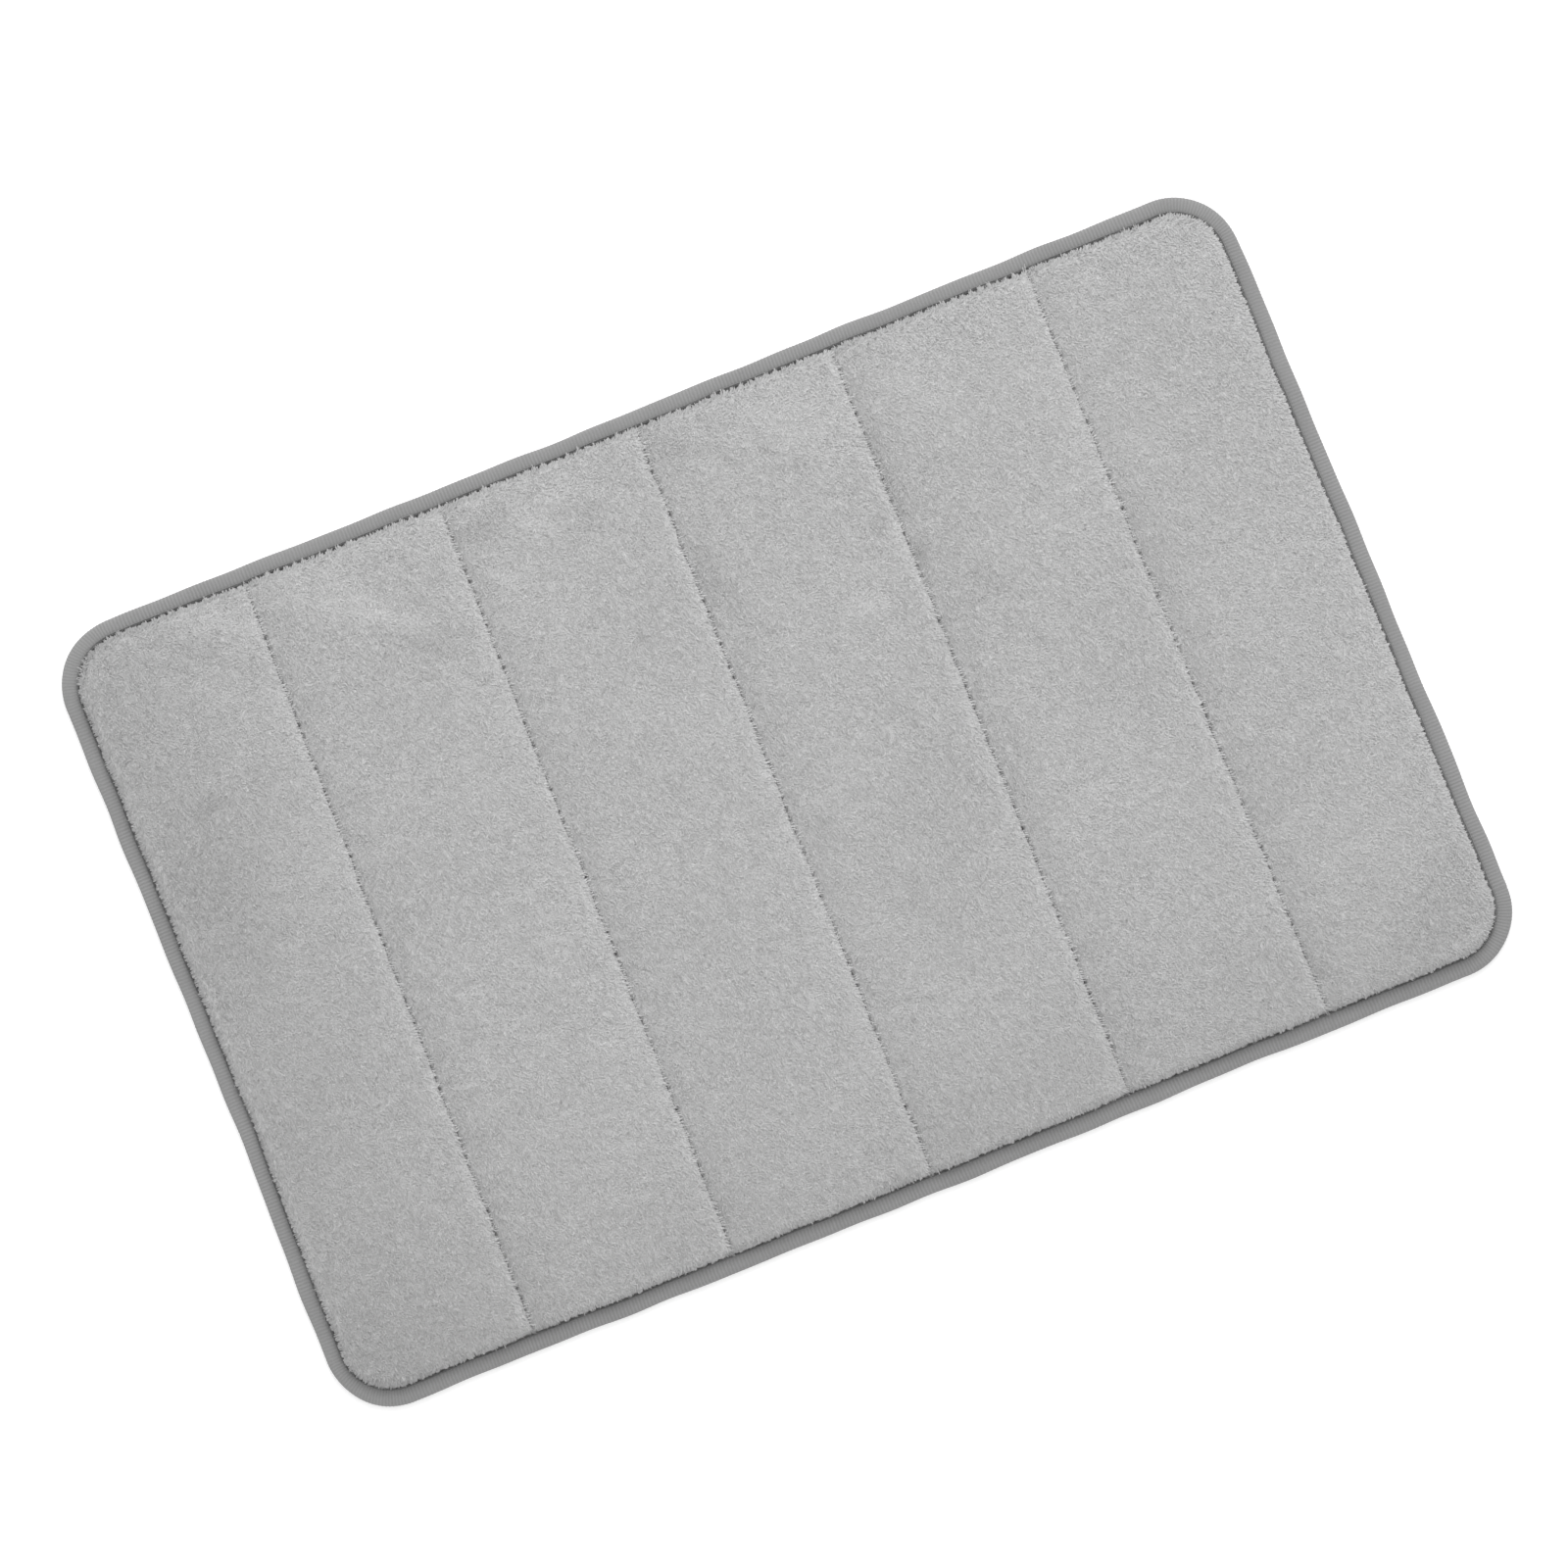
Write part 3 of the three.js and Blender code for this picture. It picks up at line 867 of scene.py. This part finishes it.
def make_seam_threads(number, seam):
    """The needle thread's stitches in the groove, and the bobbin thread's under the foam."""
    y = np.arange(-SEAM_END, SEAM_END, STITCH_PITCH / POINTS_PER_STITCH)
    x = np.full_like(y, seam)
    raised = stitch_wave(y, STITCH_PITCH)
    height = face_surface(x, y)[:, 2] + THREAD_RADIUS + 0.04 * MM + 0.25 * MM * raised
    sway = 0.12 * MM * np.sin(2 * math.pi * y / STITCH_PITCH / 2)
    needle = thread_mesh(f"needle_stitches_{number}", np.stack([x + sway, y, height], 1), False)
    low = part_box(f"seam_bobbin_thread_{number}")[0].z + THREAD_RADIUS
    under = low + 0.06 * MM * (1 - raised)
    bobbin = thread_mesh(f"bobbin_stitches_{number}", np.stack([x - sway * 0.4, y, under], 1), False)
    return needle, bobbin


def make_binding_threads():
    """The stitches that hold the tape, on its upper side and under it."""
    point, facing, along = outline_points(BINDING_STITCH / POINTS_PER_STITCH)
    flat = point - facing * THREAD_INSET
    raised = stitch_wave(along, BINDING_STITCH)
    heights = {
        "binding_needle_stitches": TAPE_HIGH.z - 0.14 * MM + THREAD_RADIUS + 0.12 * MM * raised,
        "binding_bobbin_stitches": THREAD_RADIUS + 0.1 * MM + 0.05 * MM * raised,
    }
    return [thread_mesh(name, np.column_stack([flat, height]), True) for name, height in heights.items()]


# ---- foam, backing and grip

def make_foam():
    """The foam slab: round at its rim, pressed down at the seams, with a channel for each lower thread."""
    step = 8 * MM
    side_height = 4.5 * MM
    rounding = 4 * MM
    channel_half = 1 * MM
    channel_depth = 0.9 * MM
    edge = FOAM_INSET + 0.5 * MM
    half_x, half_y, radius = HALF_X - edge, HALF_Y - edge, CORNER - edge
    around = np.array([-10, -7.5, -5, -2.5, 0, 2.5, 5, 7.5, 10]) * MM
    rim = np.array([0, 0.5, 1.2, 2.2, 3.4, 5]) * MM
    between = spread(-half_y + rim[-1], half_y - rim[-1], step)
    ys = np.unique(np.concatenate([half_y - rim, -half_y + rim, between]).round(7))
    x, y = rounded_grid(lines_along(half_x, rim, around, step), ys, half_x, half_y, radius)
    inset = rounded_inset(x, y, half_x, half_y, radius)[0]
    rise = soft_step(inset / rounding) ** 0.5
    side = FOAM_LOW.z + side_height
    top = side + (FOAM_HIGH.z - side) * rise - foam_dip(x) * rise
    bottom = FOAM_LOW.z + np.where(np.abs(seam_distance(x)) < channel_half, channel_depth, 0)
    points, faces = closed_sheet(np.stack([x, y, top], -1), np.stack([x, y, bottom], -1))
    return make_piece("foam_pad", settle(points), faces)


def make_backing():
    """The woven cloth under the foam, flat and as thin as in the frame."""
    step = 8 * MM
    half_x, half_y = HALF_X - CLOTH_INSET, HALF_Y - CLOTH_INSET
    xs = spread(-half_x, half_x, step)
    ys = spread(-half_y, half_y, step)
    x, y = rounded_grid(xs, ys, half_x, half_y, CORNER - CLOTH_INSET)
    top, bottom = [np.stack([x, y, np.full_like(x, level)], -1) for level in (CLOTH_HIGH.z, CLOTH_LOW.z)]
    points, faces = closed_sheet(top, bottom)
    return make_piece("backing_weave", settle(points), faces)


def dot_centres(radius):
    """Rows of places inside the backing's edge, every other row set half a pitch along."""
    pitch = 9 * MM
    row_pitch = pitch * math.sqrt(3) / 2
    rows = int((HALF_Y - GRIP_INSET) / row_pitch)
    columns = int((HALF_X - GRIP_INSET) / pitch) + 1
    column, row = np.meshgrid(np.arange(-columns, columns + 1), np.arange(-rows, rows + 1))
    x = (column * pitch + np.where(row % 2 == 1, pitch / 2, 0)).ravel()
    y = (row * row_pitch).ravel()
    inset = rounded_inset(x, y, HALF_X, HALF_Y, CORNER)[0]
    kept = inset > GRIP_INSET + radius + 0.5 * MM
    return np.stack([x[kept], y[kept], np.zeros(np.count_nonzero(kept))], 1)


def dot_shape(radius, top):
    """One dome that hangs from a flat top down to the floor: its points and triangles."""
    sides = 10
    rings = [(1.0, 1.0), (0.94, 0.55), (0.62, 0.12)]
    turn = np.arange(sides) * 2 * math.pi / sides
    points = [(0, 0, top)]
    for share, level in rings:
        points += [(radius * share * math.cos(t), radius * share * math.sin(t), top * level) for t in turn]
    points.append((0, 0, 0))
    column = np.arange(sides)
    after = (column + 1) % sides
    tip = len(points) - 1
    flat_top = np.stack([0 * column, 1 + column, 1 + after], 1)
    wall = 1 + tube_faces(len(rings), sides, False)
    point = np.stack([tip - sides + after, tip - sides + column, np.full(sides, tip)], 1)
    return np.array(points), np.concatenate([flat_top, wall[:, [0, 1, 2]], wall[:, [0, 2, 3]], point])


def make_grip_dots():
    """Rows of small domes under the backing."""
    radius = 1.6 * MM
    gap_to_cloth = 0.03 * MM
    centres = dot_centres(radius)
    shape, pattern = dot_shape(radius, CLOTH_LOW.z - gap_to_cloth)
    points = settle((shape[None] + centres[:, None]).reshape(-1, 3))
    faces = copied_faces(pattern, len(centres), len(shape))
    return make_piece("grip_dots", points, faces, uv=("OFBake", plan_places(points)))


# ---- materials

def start_material(name):
    """A new material with its node tree, its shader and the places on the object."""
    material = bpy.data.materials.new(name)
    material.use_nodes = True
    tree = material.node_tree
    place = add_node(tree, "ShaderNodeTexCoord").outputs["Object"]
    return material, tree, tree.nodes["Principled BSDF"], place


def add_node(tree, kind, sockets=None, **settings):
    """A new node with its settings made and its sockets linked or set."""
    node = tree.nodes.new(kind)
    for key, value in settings.items():
        setattr(node, key, value)
    for key, value in (sockets or {}).items():
        if isinstance(value, bpy.types.NodeSocket):
            tree.links.new(value, node.inputs[key])
        else:
            node.inputs[key].default_value = value
    return node


def noise(place, scale, detail=2.0, roughness=0.6, stretch=None):
    """Noise over places, which a scale and a rotation may stretch first."""
    if stretch is not None:
        scaling, rotation = stretch
        sockets = {"Vector": place, "Scale": scaling, "Rotation": rotation}
        place = add_node(place.id_data, "ShaderNodeMapping", sockets).outputs[0]
    sockets = {"Vector": place, "Scale": scale, "Detail": detail, "Roughness": roughness}
    return add_node(place.id_data, "ShaderNodeTexNoise", sockets).outputs["Fac"]


def ramped(value, low, high, from_low=0.3, from_high=0.7):
    """A value carried from one range to another."""
    sockets = {"Value": value, "From Min": from_low, "From Max": from_high, "To Min": low, "To Max": high}
    return add_node(value.id_data, "ShaderNodeMapRange", sockets).outputs[0]


def multiplied(value, *factors):
    """A value times each of the factors."""
    for factor in factors:
        sockets = {0: value, 1: factor}
        value = add_node(value.id_data, "ShaderNodeMath", sockets, operation="MULTIPLY").outputs[0]
    return value


def set_looks(shader, value, looks, tint=(1.0, 1.0, 1.0)):
    """Gives the shader its colour, from one brightness and a tint, and its other sockets' plain numbers."""
    parts = [multiplied(value, part) if part != 1.0 else value for part in tint]
    tree = shader.id_data
    colour = add_node(tree, "ShaderNodeCombineColor", dict(enumerate(parts)))
    tree.links.new(colour.outputs[0], shader.inputs["Base Color"])
    for socket, number in looks.items():
        shader.inputs[socket].default_value = number


def bumped(shader, height, strength, distance):
    """Fine relief that only the shading shows."""
    tree = shader.id_data
    node = add_node(tree, "ShaderNodeBump", {"Height": height, "Strength": strength, "Distance": distance})
    tree.links.new(node.outputs[0], shader.inputs["Normal"])


def plush_material(name, depth):
    """Short soft pile: lighter and darker by the painted light and shade in its tone attribute, and fine
    streaks along the nap.
    """
    material, tree, shader, place = start_material(name)
    # The tone attribute holds painted light and shade as well as the pile's random tone.
    tone = add_node(tree, "ShaderNodeAttribute", attribute_name="pile_tone_and_painted_shading").outputs["Fac"]
    mottle = ramped(noise(place, 90.0, 3.0, 0.6), 0.985, 1.015)
    streaks = ramped(noise(place, 1500.0, stretch=((1, 0.35, 0.6), (0, 0, 0.9))), 0.81, 1.19)
    value = multiplied(tone, mottle, streaks, PLUSH_GREY * depth)
    set_looks(shader, value, {
        "Roughness": 0.95, "Specular IOR Level": 0.15, "Sheen Weight": 0.3, "Sheen Roughness": 0.5,
    })
    grain = noise(place, 2200.0, stretch=((1, 0.4, 1), (0, 0, 0.9)))
    bumped(shader, grain, 0.4, 0.0003)
    return material


def tape_material():
    """Woven binding tape: yarns across the tape, with a little fuzz and unevenness."""
    material, tree, shader, place = start_material("binding_tape")
    weave = add_node(tree, "ShaderNodeUVMap", uv_map="weave").outputs[0]
    yarn = add_node(
        tree, "ShaderNodeTexWave",
        {"Vector": weave, "Scale": 0.185, "Distortion": 1.5, "Detail": 2.0, "Detail Scale": 1.5},
        bands_direction="X",
    ).outputs["Fac"]
    yarns = ramped(yarn, 0.9, 1.06, 0.0, 1.0)
    patches = ramped(noise(place, 30.0, 3.0, 0.6), 0.96, 1.04)
    fuzz = ramped(noise(place, 1800.0), 0.93, 1.07)
    value = multiplied(yarns, patches, fuzz, TAPE_GREY)
    set_looks(shader, value, {"Roughness": 0.85, "Specular IOR Level": 0.25, "Sheen Weight": 0.1})
    threads = noise(weave, 2.6, stretch=((1, 0.2, 1), (0, 0, 0)))
    bumped(shader, threads, 0.5, 0.0003)
    return material


def thread_material():
    material, tree, shader, place = start_material("sewing_thread")
    twist = add_node(
        tree, "ShaderNodeTexWave",
        {"Vector": place, "Scale": 700.0, "Distortion": 0.5},
        bands_direction="DIAGONAL",
    ).outputs["Fac"]
    value = multiplied(ramped(twist, 0.85, 1.1, 0.0, 1.0), THREAD_GREY)
    set_looks(shader, value, {"Roughness": 0.6})
    bumped(shader, twist, 0.4, 0.0001)
    return material


def foam_material():
    material, tree, shader, place = start_material("foam")
    cells = add_node(tree, "ShaderNodeTexVoronoi", {"Vector": place, "Scale": 900.0}).outputs["Distance"]
    value = multiplied(ramped(cells, 0.85, 1.05, 0.0, 0.6), FOAM_GREY)
    set_looks(shader, value, {"Roughness": 0.95}, (1.0, 0.96, 0.82))
    bumped(shader, cells, 0.6, 0.0006)
    return material


def backing_material():
    """Plain woven cloth, one yarn over and one under."""
    yarn_pitch = 1.6 * MM
    material, tree, shader, place = start_material("backing_fabric")
    split = add_node(tree, "ShaderNodeSeparateXYZ", {0: place})
    waves = []
    for axis in ("X", "Y"):
        angle = multiplied(split.outputs[axis], 2 * math.pi / yarn_pitch)
        waves.append(add_node(tree, "ShaderNodeMath", {0: angle}, operation="SINE").outputs[0])
    over = multiplied(waves[0], waves[1])
    fuzz = ramped(noise(place, 900.0), 0.92, 1.08)
    patches = ramped(noise(place, 20.0, 3.0, 0.6), 0.96, 1.04)
    value = multiplied(ramped(over, 0.9, 1.05, -1.0, 1.0), fuzz, patches, BACKING_GREY)
    set_looks(shader, value, {"Roughness": 0.9})
    bumped(shader, over, 0.5, 0.0002)
    return material


def grip_material():
    """Soft plastic dots, slightly cloudy."""
    material, _, shader, place = start_material("grip_pvc")
    cloud = ramped(noise(place, 300.0, 2.0, 0.5), 0.95, 1.05)
    set_looks(shader, multiplied(cloud, GRIP_GREY), {"Roughness": 0.42})
    bumped(shader, noise(place, 2500.0, 2.0, 0.5), 0.15, 0.0001)
    return material


def floor_material():
    material, _, shader, place = start_material("floor")
    value = multiplied(ramped(noise(place, 3.0, 2.0, 0.5), 0.997, 1.003), FLOOR_GREY)
    # The floor glows a little: painted light that lightens the mat's contact shadow and lights its sides
    # from below.
    set_looks(shader, value, {
        "Emission Color": (1, 1, 1, 1), "Emission Strength": 0.3,
        "Roughness": 0.9, "Specular IOR Level": 0.1,
    })
    return material


# ---- the pieces put together

def finish_piece(piece, material, slot, *nodes):
    """Gives a piece its material, and lets it ride and stand for its CAD solids. Its slot is not used."""
    piece.data.materials.append(material)
    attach(piece, "root")
    if nodes:
        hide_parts(*nodes)
    return piece


plush = plush_material("plush_pile", 1.0)
under_plush = plush_material("plush_ground", UNDER_PLUSH_SHARE)
thread = thread_material()

cover = finish_piece(make_cover(), under_plush, "plush", "pile_cover")
tufts = [finish_piece(make_tufts(panel), plush, "plush") for panel in range(len(SEAMS) + 1)]
finish_piece(make_tape(), tape_material(), "binding_tape", "edge_binding")
for number, seam in enumerate(SEAMS, 1):
    for stitches, side in zip(make_seam_threads(number, seam), ("needle", "bobbin")):
        finish_piece(stitches, thread, "sewing_thread", f"seam_{side}_thread_{number}")
for stitches, side in zip(make_binding_threads(), ("needle", "bobbin")):
    finish_piece(stitches, thread, "sewing_thread", f"binding_{side}_thread")
foam = finish_piece(make_foam(), foam_material(), "foam", "foam_core")
backing = finish_piece(make_backing(), backing_material(), "backing_fabric", "backing_cloth")
finish_piece(make_grip_dots(), grip_material(), "grip_pvc", "grip_layer")


# ---- floor, light and camera

def make_floor():
    """A plain floor just under the mat."""
    corners = ((-1, -1), (1, -1), (1, 1), (-1, 1))
    points = np.array([(FLOOR_HALF * x, FLOOR_HALF * y, -FLOOR_DROP) for x, y in corners])
    floor = make_piece("floor", points, np.array([[0, 1, 2, 3]]))
    floor.data.materials.append(floor_material())


def make_area_light(name, place, size, watts):
    """A square soft light that faces the mat's middle."""
    light = bpy.data.lights.new(name, "AREA")
    light.shape = "SQUARE"
    light.size = size
    light.energy = watts
    lamp = add_object(name, light)
    lamp.location = place
    lamp.rotation_euler = (-Vector(place)).to_track_quat("-Z", "Y").to_euler()


def make_world(low, high):
    """A plain studio surround, dim at the horizon and bright overhead."""
    world = bpy.data.worlds.new("studio")
    world.use_nodes = True
    tree = world.node_tree
    place = add_node(tree, "ShaderNodeTexCoord").outputs["Generated"]
    split = add_node(tree, "ShaderNodeSeparateXYZ", {0: place})
    strength = ramped(split.outputs["Z"], low, high, 0.0, 1.0)
    background = tree.nodes["Background"]
    background.inputs["Color"].default_value = (1, 1, 1, 1)
    tree.links.new(strength, background.inputs["Strength"])
    bpy.context.scene.world = world


def make_camera():
    """A long lens almost straight above, turned so that the mat lies slantwise in the picture."""
    azimuth = math.radians(CAMERA_AZIMUTH)
    elevation = math.radians(CAMERA_ELEVATION)
    level = math.cos(elevation)
    back = Vector((math.sin(azimuth) * level, -math.cos(azimuth) * level, math.sin(elevation)))
    turn = back.to_track_quat("Z", "Y")
    right = turn @ Vector((1, 0, 0))
    up = turn @ Vector((0, 1, 0))
    camera = bpy.data.cameras.new("camera")
    camera.sensor_width = SENSOR_WIDTH
    camera.lens = SENSOR_WIDTH * CAMERA_DISTANCE / PICTURE_WIDTH
    camera.clip_end = 20
    aim = Vector((0, 0, AIM_HEIGHT)) + up * AIM_UP - right * AIM_LEFT
    holder = add_object("camera", camera)
    holder.location = aim + back * CAMERA_DISTANCE
    holder.rotation_euler = turn.to_euler()
    bpy.context.scene.camera = holder


make_floor()
make_area_light("key", place=(0.9, 2.1, 2.6), size=1.8, watts=52)
make_world(low=0.6, high=1.1)
make_camera()
bpy.context.scene.view_settings.view_transform = "Standard"
